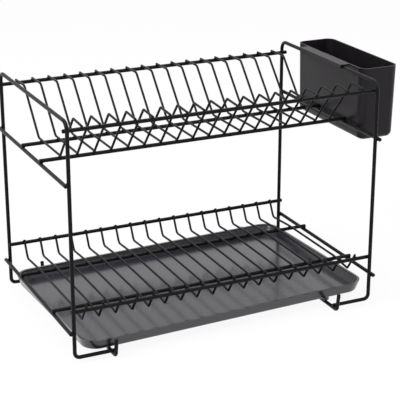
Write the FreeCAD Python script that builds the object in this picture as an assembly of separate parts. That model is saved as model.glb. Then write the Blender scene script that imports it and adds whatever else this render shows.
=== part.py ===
"""Two-tier wire dish rack with a drip tray and a hang-on cutlery holder.

Frame: +X along the rack's width, +Y from front to back, +Z up, in millimetres.
The origin is on the worktop, midway between the four posts.
"""
import FreeCAD
import Part
import math
import os

# ---- wire stock ----
ROD = 5.2                  # diameter of frames, rails and runners
WIRE = 3.2                 # diameter of the plate wires
WELD_GAP = 0.05            # between two wires that a weld joins

# ---- end frames ----
POST_SPAN_X = 440.0        # left to right, post centre to post centre
POST_SPAN_Y = 268.0        # front to back, post centre to post centre
BAR_Z = 322.5              # centre of the top bars
BAR_BEND = 12.0            # centreline radius where a post turns into the top bar
FOOT_BEND = 7.0            # centreline radius where a post turns into its foot
FOOT_PAST_RUNNER = 4.0     # a foot's inner end past the runner's centre

# ---- tray runners ----
RUNNER_INSET = 54.0        # runner centre inside the post centres
STOP_FRONT_RISE = 24.0     # front stop's tip above the runner
STOP_REAR_RISE = 21.0      # rear stop's tip above the runner
STOP_FRONT_OUT = 6.0       # front bend ahead of the front posts
STOP_REAR_OUT = 16.0       # rear bend behind the rear posts
STOP_LEAN = 3.5            # each stop leans outward by this much
RUNNER_BEND = 5.5

# ---- rails ----
SIDE_RAIL_OVERHANG = 1.0   # side rails past the posts' faces
POST_RAIL_OVERHANG = 1.2   # cross rails past the posts' faces
REST_RAIL_OVERHANG = 1.3   # rest rails past the side rails' centres
LOWER_RAIL_INSET = 1.2     # lower rails end inside the posts' faces
UPPER_REAR_RAIL_DROP = 16.0    # rails of the upper tier below the top bars
UPPER_FRONT_RAIL_DROP = 11.8
UPPER_SIDE_DROP = 79.5
LOWER_SIDE_Z = 43.5
LOWER_REAR_RAIL_RISE = 25.5    # rails of the lower tier above its side rails
LOWER_FRONT_RAIL_RISE = 26.2

# ---- plate wires ----
WIRE_COUNT = 18
END_WIRE_INSET = 20.25     # first and last wire inside the post centres
UPPER_TAIL = 1.0           # a wire's rear end past the rear rail's centre
UPPER_LIP_RUN = 36.0       # from the rear rail's centre to the lip's corner
UPPER_LIP_RISE = 1.0
UPPER_BACK_RUN = 54.5      # from the lip's corner to the knee
UPPER_REST_RUN = 9.5      # from the knee to the rear rest rail
UPPER_TOOTH_RUN = 54.0     # from the front turn to the tooth's peak
UPPER_TURN_PAST = 2.5      # the turn ahead of the front rest rail
UPPER_PEAK_RUN = 28.0      # from the peak to the front rail's centre
UPPER_PEAK_RISE = 6.0      # peak above the front rail's centre
UPPER_NOSE = 2.5           # a wire's front end past the front rail's centre
LOWER_KNEE_RUN = 15.0      # from the rear rail's centre to the knee
LOWER_KNEE_DROP = 3.2      # knee below the level of the rest rails' wires
LOWER_REAR_REST_RUN = 52.5     # from the knee to the rear rest rail
LOWER_FRONT_REST_RUN = 38.0    # from the front rest rail to the dip
LOWER_DIP_RUN = 20.0       # from the dip to the front rail's centre
LOWER_DIP_DROP = 4.6       # dip below the level of the rest rails' wires
LOWER_TAIL = 3.0           # wire past its weld on the rear rail
LOWER_NOSE = 3.5           # wire past its weld on the front rail
LIP_BEND = 8.0
KNEE_BEND = 7.0
TOOTH_BEND = 3.2
EASY_BEND = 30.0           # radius of the shallow bends over the rest rails

# ---- drip tray ----
TRAY_SIDE_PLAY = 3.0       # between the tray and the posts' centres, each side
TRAY_DEPTH_PLAY = 17.0     # between the tray and its stops, both ends together
TRAY_STOP_GAP = 1.5        # what is left of it once the loose tray lies askew
TRAY_HEIGHT = 15.0
TRAY_CORNER = 24.0
TRAY_WALL = 2.0
TRAY_DRAFT = 4.5           # how far the wall leans outward, bottom to rim
TRAY_EDGE_ROUND = 4.0      # rounding under the bottom edge
TRAY_RIM_WIDTH = 3.4
TRAY_RIM_THICKNESS = 1.8
TRAY_SHIFT_X = 4.8         # the tray lies towards the holder's end
TRAY_SHIFT_BACK = 3.0      # and towards the rear stops
TRAY_LIFT_CLEARANCE = 0.3  # tray floor above the foot wires
TRAY_PAD = 14.0            # diameter of the pads that stand on the runners
TRAY_PAD_FRONT_INSET = 30.0    # pads inside the front and rear posts' centres
TRAY_PAD_REAR_INSET = 22.0
SEAT_GAP = 0.1             # under the tray's pads and the holder's hook

# ---- cutlery holder ----
HOLDER_WIDTH = 59.0
HOLDER_LENGTH = 185.0
HOLDER_HEIGHT = 103.5
HOLDER_CENTRE_Y = 11.0
HOLDER_CORNER = 12.0
HOLDER_WALL = 2.0
HOLDER_DRAFT = 2.0         # how far each wall leans outward, bottom to rim
HOLDER_BOTTOM_ROUND = 8.0
HOLDER_RAIL_GAP = 0.8      # between the holder and the side rail
HOOK_LENGTH = 116.0
HOOK_CENTRE_Y = 12.5
HOOK_THICKNESS = 2.2
HOOK_DROP = 5.5            # hook's leg below its top
HOOK_SIDE_GAP = 0.4        # between the leg and the bar

# ---- worked out from the above ----
POST_X = POST_SPAN_X / 2
POST_Y = POST_SPAN_Y / 2
RUNNER_Z = ROD / 2
FOOT_Z = RUNNER_Z + ROD + WELD_GAP
RUNNER_X = POST_X - RUNNER_INSET
FOOT_REACH = RUNNER_INSET + FOOT_PAST_RUNNER
RAIL_STEP = ROD + WELD_GAP
WIRE_STEP = (ROD + WIRE) / 2 + WELD_GAP
SIDE_RAIL_X = POST_X + RAIL_STEP
POST_RAIL_Y = POST_Y - RAIL_STEP

UPPER_SIDE_Z = BAR_Z - UPPER_SIDE_DROP
UPPER_REAR_RAIL_Z = BAR_Z - UPPER_REAR_RAIL_DROP
UPPER_FRONT_RAIL_Z = BAR_Z - UPPER_FRONT_RAIL_DROP
LOWER_REAR_RAIL_Z = LOWER_SIDE_Z + LOWER_REAR_RAIL_RISE
LOWER_FRONT_RAIL_Z = LOWER_SIDE_Z + LOWER_FRONT_RAIL_RISE

WIRE_PITCH = (POST_SPAN_X - 2 * END_WIRE_INSET) / (WIRE_COUNT - 1)
UPPER_LIP_Y = POST_RAIL_Y - UPPER_LIP_RUN
UPPER_KNEE_Y = UPPER_LIP_Y - UPPER_BACK_RUN
UPPER_PEAK_Y = -POST_RAIL_Y + UPPER_PEAK_RUN
UPPER_TURN_Y = UPPER_PEAK_Y + UPPER_TOOTH_RUN
UPPER_REST_Y = (UPPER_KNEE_Y - UPPER_REST_RUN, UPPER_TURN_Y + UPPER_TURN_PAST)
LOWER_KNEE_Y = POST_RAIL_Y - LOWER_KNEE_RUN
LOWER_DIP_Y = -POST_RAIL_Y + LOWER_DIP_RUN
LOWER_REST_Y = (LOWER_KNEE_Y - LOWER_REAR_REST_RUN, LOWER_DIP_Y + LOWER_FRONT_REST_RUN)

STOP_GAP = POST_SPAN_Y + STOP_FRONT_OUT + STOP_REAR_OUT - ROD
TRAY_WIDTH = POST_SPAN_X - 2 * TRAY_SIDE_PLAY
TRAY_DEPTH = STOP_GAP - TRAY_DEPTH_PLAY
TRAY_TURN = math.degrees(math.asin((TRAY_DEPTH_PLAY - TRAY_STOP_GAP) / (2 * RUNNER_X)))
TRAY_SHIFT_Y = (STOP_REAR_OUT - STOP_FRONT_OUT) / 2 + TRAY_SHIFT_BACK
TRAY_PAD_Y = (-POST_Y + TRAY_PAD_FRONT_INSET, POST_Y - TRAY_PAD_REAR_INSET)
TRAY_Z = FOOT_Z + ROD / 2 + TRAY_LIFT_CLEARANCE
HOOK_UNDER_Z = BAR_Z + ROD / 2 + SEAT_GAP
HOLDER_TOP_Z = HOOK_UNDER_Z + HOOK_THICKNESS
HOLDER_X0 = SIDE_RAIL_X + ROD / 2 + HOLDER_RAIL_GAP


def vec(x, y, z):
    return FreeCAD.Vector(x, y, z)


def bent_rod(points, radii, diameter):
    """Round rod through the points, with a tangent arc of the given radius at each inner one."""
    corners = [vec(*p) for p in points]
    edges = []
    start = corners[0]
    for before, corner, after, radius in zip(corners, corners[1:], corners[2:], radii):
        inward = (before - corner).normalize()
        outward = (after - corner).normalize()
        half_turn = (math.pi - inward.getAngle(outward)) / 2
        setback = radius * math.tan(half_turn)
        middle = (inward + outward).normalize()
        centre_distance = radius / math.cos(half_turn)
        arc_start = corner + inward * setback
        arc_end = corner + outward * setback
        arc_middle = corner + middle * (centre_distance - radius)
        edges.append(Part.LineSegment(start, arc_start).toShape())
        edges.append(Part.Arc(arc_start, arc_middle, arc_end).toShape())
        start = arc_end
    edges.append(Part.LineSegment(start, corners[-1]).toShape())
    section = Part.Wire([Part.makeCircle(diameter / 2, corners[0], corners[1] - corners[0])])
    return Part.Wire(edges).makePipeShell([section], True, False)


def straight_rod(start, end, diameter):
    axis = vec(*end) - vec(*start)
    return Part.makeCylinder(diameter / 2, axis.Length, vec(*start), axis)


def rounded_outline(width, depth, corner, z):
    """Closed outline of a rounded rectangle about the Z axis, at height z."""
    half_x = width / 2 - corner
    half_y = depth / 2 - corner
    diagonal = corner * math.sqrt(0.5)
    centres = [(half_x, half_y), (-half_x, half_y), (-half_x, -half_y), (half_x, -half_y)]
    edges = []
    ends = []
    for index, (cx, cy) in enumerate(centres):
        angle = math.radians(90 * index)
        first = vec(cx + corner * math.cos(angle), cy + corner * math.sin(angle), z)
        last = vec(cx - corner * math.sin(angle), cy + corner * math.cos(angle), z)
        turn = angle + math.pi / 4
        middle = vec(cx + corner * math.cos(turn), cy + corner * math.sin(turn), z)
        edges.append(Part.Arc(first, middle, last).toShape())
        ends.append((first, last))
    for (_, last), (first, _) in zip(ends, ends[1:] + ends[:1]):
        edges.append(Part.LineSegment(last, first).toShape())
    return Part.Wire(Part.__sortEdges__(edges))


def flared_block(width, depth, corner, z_low, z_high, draft):
    """Rounded block whose sides lean outward by draft from z_low to z_high."""
    low = rounded_outline(width - 2 * draft, depth - 2 * draft, corner - draft / 2, z_low)
    high = rounded_outline(width, depth, corner, z_high)
    return Part.makeLoft([low, high], True, True)


def edges_at(shape, z):
    """Edges that lie wholly at height z."""
    return [edge for edge in shape.Edges
            if abs(edge.BoundBox.ZMin - z) < 1e-4 and abs(edge.BoundBox.ZMax - z) < 1e-4]


def end_frame(side):
    """One bent rod: foot, front post, top bar, rear post, foot."""
    x = side * POST_X
    foot_x = side * (POST_X - FOOT_REACH)
    path = [
        (foot_x, -POST_Y, FOOT_Z),
        (x, -POST_Y, FOOT_Z),
        (x, -POST_Y, BAR_Z),
        (x, POST_Y, BAR_Z),
        (x, POST_Y, FOOT_Z),
        (foot_x, POST_Y, FOOT_Z),
    ]
    return bent_rod(path, [FOOT_BEND, BAR_BEND, BAR_BEND, FOOT_BEND], ROD)


def tray_runner(side):
    """Rod on the worktop under the feet, with both ends turned up as stops for the tray."""
    x = side * RUNNER_X
    front = -POST_Y - STOP_FRONT_OUT
    rear = POST_Y + STOP_REAR_OUT
    path = [
        (x, front - STOP_LEAN, RUNNER_Z + STOP_FRONT_RISE),
        (x, front, RUNNER_Z),
        (x, rear, RUNNER_Z),
        (x, rear + STOP_LEAN, RUNNER_Z + STOP_REAR_RISE),
    ]
    return bent_rod(path, [RUNNER_BEND, RUNNER_BEND], ROD)


def side_rail(side, z):
    x = side * SIDE_RAIL_X
    reach = POST_Y + ROD / 2 + SIDE_RAIL_OVERHANG
    return straight_rod((x, -reach, z), (x, reach, z), ROD)


def cross_rail(y, z, reach):
    return straight_rod((-reach, y, z), (reach, y, z), ROD)


def past_weld(rail, bend, side, extra):
    """End of a wire, all as (y, z), that leaves bend, passes one side of a rail and runs on by extra."""
    dy = rail[0] - bend[0]
    dz = rail[1] - bend[1]
    distance = math.hypot(dy, dz)
    heading = math.atan2(dz, dy) + side * math.asin(WIRE_STEP / distance)
    length = math.sqrt(distance ** 2 - WIRE_STEP ** 2) + extra
    return (bend[0] + length * math.cos(heading), bend[1] + length * math.sin(heading))


def upper_profile():
    """Path of an upper plate wire as (y, z) points, from its rear end to its front end."""
    rear_top = UPPER_REAR_RAIL_Z + WIRE_STEP
    rest_top = UPPER_SIDE_Z + RAIL_STEP + WIRE_STEP
    front_top = UPPER_FRONT_RAIL_Z + WIRE_STEP
    points = [
        (POST_RAIL_Y + UPPER_TAIL, rear_top),
        (UPPER_LIP_Y, rear_top + UPPER_LIP_RISE),
        (UPPER_KNEE_Y, rest_top),
        (UPPER_TURN_Y, rest_top),
        (UPPER_PEAK_Y, UPPER_FRONT_RAIL_Z + UPPER_PEAK_RISE),
        (-POST_RAIL_Y - UPPER_NOSE, front_top),
    ]
    return points, [LIP_BEND, KNEE_BEND, TOOTH_BEND, TOOTH_BEND]


def lower_profile():
    """Path of a lower plate wire as (y, z) points, from its rear end to its front end."""
    rest_top = LOWER_SIDE_Z + RAIL_STEP + WIRE_STEP
    knee = (LOWER_KNEE_Y, rest_top - LOWER_KNEE_DROP)
    dip = (LOWER_DIP_Y, rest_top - LOWER_DIP_DROP)
    rear_end = past_weld((POST_RAIL_Y, LOWER_REAR_RAIL_Z), knee, 1, LOWER_TAIL)
    front_end = past_weld((-POST_RAIL_Y, LOWER_FRONT_RAIL_Z), dip, -1, LOWER_NOSE)
    points = [
        rear_end,
        knee,
        (LOWER_REST_Y[0], rest_top),
        (LOWER_REST_Y[1], rest_top),
        dip,
        front_end,
    ]
    return points, [KNEE_BEND, EASY_BEND, EASY_BEND, TOOTH_BEND]


def plate_wires(tier, profile):
    """The row of equal plate wires of one tier, by node name."""
    points, radii = profile
    wires = {}
    for index in range(WIRE_COUNT):
        x = (index - (WIRE_COUNT - 1) / 2) * WIRE_PITCH
        path = [(x, y, z) for y, z in points]
        wires["%s_plate_wire_%02d" % (tier, index + 1)] = bent_rod(path, radii, WIRE)
    return wires


def drip_tray():
    """Shallow flared tray with a flat rim, on pads that stand on the runners."""
    rim_z = TRAY_Z + TRAY_HEIGHT
    outer = flared_block(TRAY_WIDTH, TRAY_DEPTH, TRAY_CORNER, TRAY_Z, rim_z, TRAY_DRAFT)
    outer = outer.makeFillet(TRAY_EDGE_ROUND, edges_at(outer, TRAY_Z))
    inner_width = TRAY_WIDTH - 2 * TRAY_RIM_WIDTH
    inner_depth = TRAY_DEPTH - 2 * TRAY_RIM_WIDTH
    inner_corner = TRAY_CORNER - TRAY_RIM_WIDTH
    floor_z = TRAY_Z + TRAY_WALL
    lip_z = rim_z - TRAY_RIM_THICKNESS
    mouth = Part.Face(rounded_outline(inner_width, inner_depth, inner_corner, lip_z))
    mouth = mouth.extrude(vec(0, 0, 2 * TRAY_RIM_THICKNESS))
    bowl = flared_block(inner_width, inner_depth, inner_corner, floor_z, lip_z, TRAY_DRAFT)
    tray = outer.cut(bowl).cut(mouth)
    turn = FreeCAD.Placement(vec(TRAY_SHIFT_X, TRAY_SHIFT_Y, 0), FreeCAD.Rotation(vec(0, 0, 1), TRAY_TURN))
    tray.Placement = turn
    pad_z = RUNNER_Z + ROD / 2 + SEAT_GAP
    for x in (-RUNNER_X, RUNNER_X):
        for y in TRAY_PAD_Y:
            pad = Part.makeCylinder(TRAY_PAD / 2, TRAY_Z + TRAY_WALL / 2 - pad_z, vec(x, y, pad_z))
            tray = tray.fuse(pad)
    return tray.removeSplitter()


def cutlery_holder():
    """Open box that hangs beside the right frame, with a hook over the frame's top bar."""
    floor_z = HOLDER_TOP_Z - HOLDER_HEIGHT
    centre = vec(HOLDER_X0 + HOLDER_WIDTH / 2, HOLDER_CENTRE_Y, 0)
    outer = flared_block(HOLDER_WIDTH, HOLDER_LENGTH, HOLDER_CORNER, floor_z, HOLDER_TOP_Z, HOLDER_DRAFT)
    outer = outer.makeFillet(HOLDER_BOTTOM_ROUND, edges_at(outer, floor_z))
    inner = flared_block(HOLDER_WIDTH - 2 * HOLDER_WALL, HOLDER_LENGTH - 2 * HOLDER_WALL,
                         HOLDER_CORNER - HOLDER_WALL, floor_z + HOLDER_WALL, HOLDER_TOP_Z, HOLDER_DRAFT)
    inner = inner.makeFillet(HOLDER_BOTTOM_ROUND - HOLDER_WALL, edges_at(inner, floor_z + HOLDER_WALL))
    body = outer.cut(inner)
    body.translate(centre)
    leg_x = POST_X - ROD / 2 - HOOK_SIDE_GAP - HOOK_THICKNESS
    hook_y = HOOK_CENTRE_Y - HOOK_LENGTH / 2
    plate_width = HOLDER_X0 + HOLDER_WALL - leg_x
    plate = Part.makeBox(plate_width, HOOK_LENGTH, HOOK_THICKNESS, vec(leg_x, hook_y, HOOK_UNDER_Z))
    leg = Part.makeBox(HOOK_THICKNESS, HOOK_LENGTH, HOOK_DROP, vec(leg_x, hook_y, HOLDER_TOP_Z - HOOK_DROP))
    return body.fuse(plate).fuse(leg).removeSplitter()


def build():
    """Every sub-part by node name."""
    post_reach = POST_X + ROD / 2 + POST_RAIL_OVERHANG
    lower_reach = POST_X + ROD / 2 - LOWER_RAIL_INSET
    rest_reach = SIDE_RAIL_X + REST_RAIL_OVERHANG
    parts = {}
    for name, side in (("left", -1), ("right", 1)):
        parts["end_frame_" + name] = end_frame(side)
        parts["tray_runner_" + name] = tray_runner(side)
        parts["upper_side_rail_" + name] = side_rail(side, UPPER_SIDE_Z)
        parts["lower_side_rail_" + name] = side_rail(side, LOWER_SIDE_Z)
    parts["upper_rear_rail"] = cross_rail(POST_RAIL_Y, UPPER_REAR_RAIL_Z, post_reach)
    parts["upper_front_rail"] = cross_rail(-POST_RAIL_Y, UPPER_FRONT_RAIL_Z, post_reach)
    parts["lower_rear_rail"] = cross_rail(POST_RAIL_Y, LOWER_REAR_RAIL_Z, lower_reach)
    parts["lower_front_rail"] = cross_rail(-POST_RAIL_Y, LOWER_FRONT_RAIL_Z, lower_reach)
    tiers = (("upper", UPPER_REST_Y, UPPER_SIDE_Z), ("lower", LOWER_REST_Y, LOWER_SIDE_Z))
    for tier, rest_ys, side_z in tiers:
        for place, y in zip(("rear", "front"), rest_ys):
            parts["%s_rest_rail_%s" % (tier, place)] = cross_rail(y, side_z + RAIL_STEP, rest_reach)
    parts.update(plate_wires("upper", upper_profile()))
    parts.update(plate_wires("lower", lower_profile()))
    parts["drip_tray"] = drip_tray()
    parts["cutlery_holder"] = cutlery_holder()
    return parts


os.makedirs("parts", exist_ok=True)
for node, shape in build().items():
    shape.exportStep("parts/%s.step" % node)
    box = shape.BoundBox
    print("%-24s solids %d valid %s volume %9.0f  x %.1f..%.1f  y %.1f..%.1f  z %.1f..%.1f" % (
        node, len(shape.Solids), shape.isValid(), shape.Volume,
        box.XMin, box.XMax, box.YMin, box.YMax, box.ZMin, box.ZMax))
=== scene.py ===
"""Two-tier wire dish rack: coated wire, welds and end beads, drip tray, cutlery holder, studio.

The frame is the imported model, in metres: +X along the rack's width, +Y from front to back, +Z up.
"""
import math
import random

import bmesh
import bpy
from mathutils import Matrix, Vector


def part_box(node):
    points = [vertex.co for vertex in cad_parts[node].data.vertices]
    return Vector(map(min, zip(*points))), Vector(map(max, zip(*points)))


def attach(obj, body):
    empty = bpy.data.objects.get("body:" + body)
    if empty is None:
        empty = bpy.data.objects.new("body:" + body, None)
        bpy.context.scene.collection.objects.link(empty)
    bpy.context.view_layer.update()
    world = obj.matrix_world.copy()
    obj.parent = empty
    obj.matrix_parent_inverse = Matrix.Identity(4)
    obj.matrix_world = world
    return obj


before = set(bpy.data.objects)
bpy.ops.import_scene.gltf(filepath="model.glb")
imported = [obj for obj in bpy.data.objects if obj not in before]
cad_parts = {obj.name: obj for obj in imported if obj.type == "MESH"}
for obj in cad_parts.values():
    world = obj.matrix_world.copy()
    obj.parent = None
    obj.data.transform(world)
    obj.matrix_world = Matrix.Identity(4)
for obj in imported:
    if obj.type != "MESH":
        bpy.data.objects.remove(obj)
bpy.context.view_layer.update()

MM = 0.001
WIRE_R = 1.6 * MM              # plate wires
ROD_R = 2.6 * MM               # frames, rails and runners
WELD_VARIATION = 0.14          # how far a weld's size strays from the usual
END_BEAD_HEIGHT = 0.45         # of a coated wire's rounded end, as a share of its radius
END_BEAD_SWELL = 1.015         # how much wider than the wire its rounded end is
END_BEAD_SKIRT = 0.6           # how far the rounded end reaches back over the wire, in radii
WELD_GAP = 0.05 * MM           # between two wires at a weld
WIRE_WELD = (2.3 * MM, 2.1 * MM, 0.9 * MM)     # half sizes of a bead on a plate wire
ROD_WELD = (2.8 * MM, 2.8 * MM, 1.25 * MM)     # half sizes of a bead between two rods
FLOOR_HALF_SIZE = 9.0
FLOOR_DROP = 0.3 * MM          # keeps the floor clear of the lowest wire
FLOOR_WHITE_SHARE = 0.92       # the rest is lit floor, which keeps the shadow
WORLD_LIGHT = 0.4              # strength for the rays that light the object

SIDES = ("left", "right")
TIERS = ("upper", "lower")
RAILS = ("rear_rail", "front_rail", "rest_rail_rear", "rest_rail_front")
WIRES = {tier: [n for n in sorted(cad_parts) if n.startswith(tier + "_plate_wire")] for tier in TIERS}


# ---- shader expressions ----

class Value:
    """A node's output socket that can be used in arithmetic."""

    def __init__(self, shader, socket):
        self.shader = shader
        self.socket = socket

    def _math(self, operation, a, b):
        return self.shader.node("ShaderNodeMath", {"operation": operation}, {0: a, 1: b})

    def __add__(self, other):
        return self._math("ADD", self, other)

    def __radd__(self, other):
        return self._math("ADD", other, self)

    def __sub__(self, other):
        return self._math("SUBTRACT", self, other)

    def __rsub__(self, other):
        return self._math("SUBTRACT", other, self)

    def __mul__(self, other):
        return self._math("MULTIPLY", self, other)

    def __rmul__(self, other):
        return self._math("MULTIPLY", other, self)


class Shader:
    """Builds the node tree of one material or world."""

    def __init__(self, owner):
        owner.use_nodes = True
        self.tree = owner.node_tree
        self.tree.nodes.clear()

    def node(self, kind, settings=None, inputs=None, output=0):
        """Adds a node, applies its settings, then sets or links its inputs. Returns one output."""
        node = self.tree.nodes.new(kind)
        for name, value in (settings or {}).items():
            setattr(node, name, value)
        for name, value in (inputs or {}).items():
            socket = node.inputs[name]
            if isinstance(value, Value):
                self.tree.links.new(value.socket, socket)
            else:
                socket.default_value = value
        return Value(self, node.outputs[output]) if len(node.outputs) else None

    def noise(self, size, detail=2.0, roughness=0.5, stretch=(1, 1, 1)):
        """Noise from 0 to 1 whose lumps are about size metres across, fixed to the piece."""
        place = self.node("ShaderNodeTexCoord", output="Object")
        place = self.node("ShaderNodeMapping", {}, {"Vector": place, "Scale": [1 / (size * s) for s in stretch]})
        return self.node("ShaderNodeTexNoise", {}, {"Vector": place, "Scale": 1.0, "Detail": detail,
                                                    "Roughness": roughness})

    def mix(self, factor, a, b):
        """Mixes two colours."""
        return self.node("ShaderNodeMix", {"data_type": "RGBA"}, {0: factor, 6: a, 7: b}, output=2)

    def clamp(self, value, low, high):
        return self.node("ShaderNodeClamp", {}, {"Value": value, "Min": low, "Max": high})

    def bump(self, height, distance, strength=1.0):
        return self.node("ShaderNodeBump", {}, {"Height": height, "Distance": distance, "Strength": strength})

    def surface(self, **inputs):
        """Ends the tree in one Principled BSDF, with underscores for the spaces in socket names."""
        named = {name.replace("_", " "): value for name, value in inputs.items()}
        bsdf = self.node("ShaderNodeBsdfPrincipled", {}, named)
        self.node("ShaderNodeOutputMaterial", {}, {"Surface": bsdf})


def rgb(red, green, blue):
    return (red, green, blue, 1.0)


def coated_wire_finish():
    """Black plastic coating baked on to steel wire: satin, with a faint orange peel."""
    material = bpy.data.materials.new("coated_wire")
    shader = Shader(material)
    cloud = shader.noise(22 * MM, detail=3)
    peel = shader.noise(1.6 * MM, detail=2)
    grain = shader.noise(0.35 * MM, detail=1)
    colour = shader.mix(cloud, rgb(0.0032, 0.0032, 0.0036), rgb(0.0062, 0.0060, 0.0066))
    shader.surface(
        Base_Color=colour,
        Roughness=shader.clamp(0.33 + 0.12 * (cloud - 0.5) + 0.10 * (peel - 0.5), 0.2, 0.6),
        IOR=1.45,
        Specular_IOR_Level=0.14,
        Normal=shader.bump(peel + 0.3 * grain, 0.04 * MM, 0.7),
    )
    return material


def tray_finish():
    """Glossy black moulding: it takes its grey from what it mirrors."""
    material = bpy.data.materials.new("tray_plastic")
    shader = Shader(material)
    cloud = shader.noise(60 * MM, detail=4)
    smear = shader.noise(14 * MM, detail=3, stretch=(1, 5, 1))
    grain = shader.noise(0.9 * MM, detail=2)
    colour = shader.mix(cloud, rgb(0.0130, 0.0122, 0.0220), rgb(0.0180, 0.0170, 0.0275))
    shader.surface(
        Base_Color=colour,
        Roughness=shader.clamp(0.24 + 0.08 * (cloud - 0.5) + 0.06 * (smear - 0.5), 0.12, 0.5),
        IOR=1.5,
        Coat_Weight=0.45,
        Coat_Roughness=0.14,
        Normal=shader.bump(grain, 0.008 * MM, 0.5),
    )
    return material


def holder_finish():
    """Fine-grained matt black moulding."""
    material = bpy.data.materials.new("holder_plastic")
    shader = Shader(material)
    cloud = shader.noise(40 * MM, detail=3)
    grain = shader.noise(0.55 * MM, detail=2)
    colour = shader.mix(cloud, rgb(0.0095, 0.0072, 0.0095), rgb(0.0140, 0.0112, 0.0140))
    shader.surface(
        Base_Color=colour,
        Roughness=shader.clamp(0.40 + 0.08 * (cloud - 0.5) + 0.08 * (grain - 0.5), 0.25, 0.6),
        IOR=1.5,
        Specular_IOR_Level=0.21,
        Normal=shader.bump(grain, 0.02 * MM, 0.6),
    )
    return material


coated_wire = coated_wire_finish()
tray_plastic = tray_finish()
holder_plastic = holder_finish()
for node_name, node_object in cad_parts.items():
    material = {"drip_tray": tray_plastic, "cutlery_holder": holder_plastic}.get(node_name, coated_wire)
    node_object.data.materials.clear()
    node_object.data.materials.append(material)


# ---- welds and rounded ends ----

def basis(normal, along):
    """Rotation whose Z is normal and whose X is along."""
    z = normal.normalized()
    x = (along - z * along.dot(z)).normalized()
    return Matrix((x, z.cross(x), z)).transposed().to_4x4()


def add_bead(mesh, place, turn, size):
    """Smooth ellipsoid with the given half sizes, set into mesh."""
    matrix = Matrix.Translation(place) @ turn @ Matrix.Diagonal((*size, 1.0))
    bmesh.ops.create_uvsphere(mesh, u_segments=14, v_segments=8, radius=1.0, matrix=matrix)


def add_dome(mesh, place, outward, radius, height):
    """Rounded end on a rod: a flattened half ball with a short skirt round the rod."""
    side = Vector((1, 0, 0)) if abs(outward.x) < 0.8 else Vector((0, 1, 0))
    turn = basis(outward, side)
    rings = []
    steps, around = 6, 20
    for step in range(steps + 1):
        angle = math.pi / 2 * step / steps
        rings.append((radius * math.cos(angle), height * math.sin(angle)))
    rings.insert(0, (radius, -END_BEAD_SKIRT * radius))
    loops = []
    for ring_radius, rise in rings[:-1]:
        loops.append([mesh.verts.new(place + turn.to_3x3() @ Vector((
            ring_radius * math.cos(2 * math.pi * k / around),
            ring_radius * math.sin(2 * math.pi * k / around), rise))) for k in range(around)])
    for lower, upper in zip(loops, loops[1:]):
        for k in range(around):
            mesh.faces.new((lower[k], lower[(k + 1) % around], upper[(k + 1) % around], upper[k]))
    tip = mesh.verts.new(place + outward * height)
    for k in range(around):
        mesh.faces.new((loops[-1][k], loops[-1][(k + 1) % around], tip))


def as_piece(mesh, name, body, material):
    """Turns a bmesh into a smooth-shaded piece that rides on a body."""
    data = bpy.data.meshes.new(name)
    mesh.to_mesh(data)
    mesh.free()
    for face in data.polygons:
        face.use_smooth = True
    data.materials.append(material)
    piece = bpy.data.objects.new(name, data)
    bpy.context.scene.collection.objects.link(piece)
    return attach(piece, body)


def axis_of(node):
    """Middle of a straight rod's box, which lies on its axis."""
    low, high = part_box(node)
    return (low + high) / 2


def touch_direction(wire, rail):
    """Unit vector from a rail's axis, which lies along X, to the nearest point of a plate wire."""
    centre = axis_of(rail)
    nearest = min(((v.co.y - centre.y, v.co.z - centre.z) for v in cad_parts[wire].data.vertices),
                  key=lambda d: d[0] ** 2 + d[1] ** 2)
    return Vector((0, *nearest)).normalized()


def cap_of(node, toward):
    """Centre and outward direction of a rod's cut end that faces toward."""
    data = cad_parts[node].data
    far = max((v.co for v in data.vertices), key=lambda co: co.dot(toward))
    radius = WIRE_R if "plate_wire" in node else ROD_R
    total = Vector()
    weight = 0.0
    outward = Vector()
    for face in data.polygons:
        if (face.center - far).length < 2.4 * radius and face.normal.dot(toward) > 0.8:
            total += face.center * face.area
            outward += face.normal * face.area
            weight += face.area
    return total / weight, outward.normalized()


shake = random.Random(7)


def weld_size(along_wire, along_rail, thick):
    """Half sizes of one weld, a little larger or smaller than usual."""
    grow = 1 + shake.uniform(-WELD_VARIATION, WELD_VARIATION)
    return (along_wire * grow, along_rail * (2 - grow), thick * grow)


def tier_welds(tier):
    """Bead between every plate wire and the four rails that carry it."""
    mesh = bmesh.new()
    for rail in RAILS:
        rail_name = "%s_%s" % (tier, rail)
        centre = axis_of(rail_name)
        normal = touch_direction(WIRES[tier][0], rail_name)
        along = Vector((1, 0, 0)).cross(normal)
        turn = basis(normal, along)
        for wire in WIRES[tier]:
            x = axis_of(wire).x + shake.uniform(-0.15, 0.15) * MM
            place = Vector((x, centre.y, centre.z)) + normal * (ROD_R + WELD_GAP)
            add_bead(mesh, place, turn, weld_size(*WIRE_WELD))
    return as_piece(mesh, tier + "_tier_welds", "frame", coated_wire)


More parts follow.
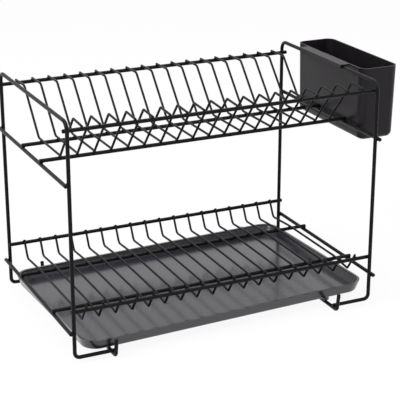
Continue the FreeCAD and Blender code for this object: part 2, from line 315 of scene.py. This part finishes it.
def rod_welds():
    """Bead where rails meet posts, rest rails meet side rails, and feet meet runners."""
    mesh = bmesh.new()
    joints = []
    for side in SIDES:
        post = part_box("end_frame_" + side)
        sign = -1 if side == "left" else 1
        post_x = sign * (max(abs(post[0].x), abs(post[1].x)) - ROD_R)
        for end in (-1, 1):
            post_y = end * (post[1].y - ROD_R)
            for tier in TIERS:
                rail = axis_of("%s_%s" % (tier, "rear_rail" if end > 0 else "front_rail"))
                joints.append((Vector((post_x, (post_y + rail.y) / 2, rail.z)), Vector((0, 1, 0))))
                rail = axis_of("%s_side_rail_%s" % (tier, side))
                joints.append((Vector(((post_x + rail.x) / 2, post_y, rail.z)), Vector((1, 0, 0))))
            runner = axis_of("tray_runner_" + side)
            joints.append((Vector((runner.x, post_y, 2 * ROD_R)), Vector((0, 0, 1))))
        for tier in TIERS:
            side_rail = axis_of("%s_side_rail_%s" % (tier, side))
            for place in ("rear", "front"):
                rest = axis_of("%s_rest_rail_%s" % (tier, place))
                joints.append((Vector((side_rail.x, rest.y, (side_rail.z + rest.z) / 2)), Vector((0, 0, 1))))
    for place, normal in joints:
        along = Vector((0, 0, 1)) if abs(normal.z) < 0.5 else Vector((1, 0, 0))
        add_bead(mesh, place, basis(normal, along), weld_size(*ROD_WELD))
    return as_piece(mesh, "rod_welds", "frame", coated_wire)


def end_beads():
    """Coating that rounds every cut end of wire and rod."""
    mesh = bmesh.new()
    ends = []
    for wire in WIRES["upper"]:
        ends += [(wire, Vector((0, 1, 0))), (wire, Vector((0, -1, 0)))]
    for wire in WIRES["lower"]:
        ends += [(wire, Vector((0, 0.4, 1)).normalized()), (wire, Vector((0, -0.6, 1)).normalized())]
    for tier in TIERS:
        for rail in RAILS:
            ends += [("%s_%s" % (tier, rail), Vector((sign, 0, 0))) for sign in (-1, 1)]
        for side in SIDES:
            ends += [("%s_side_rail_%s" % (tier, side), Vector((0, sign, 0))) for sign in (-1, 1)]
    for side in SIDES:
        ends += [("tray_runner_" + side, Vector((0, sign * 0.5, 1)).normalized()) for sign in (-1, 1)]
    for node, toward in ends:
        radius = WIRE_R if "plate_wire" in node else ROD_R
        place, outward = cap_of(node, toward)
        add_dome(mesh, place, outward, radius * END_BEAD_SWELL, radius * END_BEAD_HEIGHT)
    return as_piece(mesh, "end_beads", "frame", coated_wire)


for tier_name in TIERS:
    tier_welds(tier_name)
rod_welds()
end_beads()


# ---- studio ----

def seen_directly(shader):
    """1 for camera, mirror and see-through rays, 0 for the rays that light the object."""
    camera, mirror, through = (shader.node("ShaderNodeLightPath", output=name)
                               for name in ("Is Camera Ray", "Is Glossy Ray", "Is Transmission Ray"))
    return shader.clamp(camera + mirror + through, 0.0, 1.0)


def seen_as_white(shader, lit, share):
    """Mixes a share of white into lit for the rays that are seen directly."""
    white = shader.node("ShaderNodeEmission", {}, {"Color": rgb(1, 1, 1), "Strength": 1.0})
    return shader.node("ShaderNodeMixShader", {}, {0: seen_directly(shader) * share, 1: lit, 2: white})


def make_floor():
    mesh = bmesh.new()
    bmesh.ops.create_grid(mesh, x_segments=8, y_segments=8, size=FLOOR_HALF_SIZE)
    data = bpy.data.meshes.new("studio_floor")
    mesh.to_mesh(data)
    mesh.free()
    floor = bpy.data.objects.new("studio_floor", data)
    floor.location.z = -FLOOR_DROP
    bpy.context.scene.collection.objects.link(floor)
    material = bpy.data.materials.new("studio_floor")
    shader = Shader(material)
    pale = shader.node("ShaderNodeBsdfDiffuse", {}, {"Color": rgb(0.92, 0.92, 0.92), "Roughness": 0.5})
    shader.node("ShaderNodeOutputMaterial", {}, {"Surface": seen_as_white(shader, pale, FLOOR_WHITE_SHARE)})
    data.materials.append(material)


def make_world():
    world = bpy.data.worlds.new("studio_world")
    bpy.context.scene.world = world
    shader = Shader(world)
    strength = WORLD_LIGHT + (1 - WORLD_LIGHT) * seen_directly(shader)
    background = shader.node("ShaderNodeBackground", {}, {"Color": rgb(1, 1, 1), "Strength": strength})
    shader.node("ShaderNodeOutputWorld", {}, {"Surface": background})


def make_lamp(name, place, aim, size, power):
    lamp = bpy.data.lights.new(name, "AREA")
    lamp.shape = "RECTANGLE"
    lamp.size, lamp.size_y = size
    lamp.energy = power
    holder = bpy.data.objects.new(name, lamp)
    holder.location = place
    holder.rotation_euler = (Vector(aim) - Vector(place)).to_track_quat("-Z", "Y").to_euler()
    bpy.context.scene.collection.objects.link(holder)


def make_camera():
    camera = bpy.data.cameras.new("camera")
    camera.sensor_width = 36.0
    camera.lens = 119.36
    holder = bpy.data.objects.new("camera", camera)
    holder.location = (-0.72576, -1.58832, 0.78029)
    holder.rotation_euler = (math.radians(90 - 19.97), 0.0, -math.radians(25.16))
    bpy.context.scene.collection.objects.link(holder)
    bpy.context.scene.camera = holder


make_floor()
make_world()
make_lamp("key_lamp", (-1.9, -0.5, 1.8), (0, 0, 0.15), (1.4, 1.4), 44)
make_lamp("top_lamp", (0.3, 0.4, 2.3), (0, 0, 0.1), (1.8, 1.8), 26)
make_lamp("side_lamp", (1.9, -0.8, 1.1), (0, 0, 0.15), (1.0, 1.2), 3)
make_camera()
bpy.context.scene.view_settings.view_transform = "Standard"
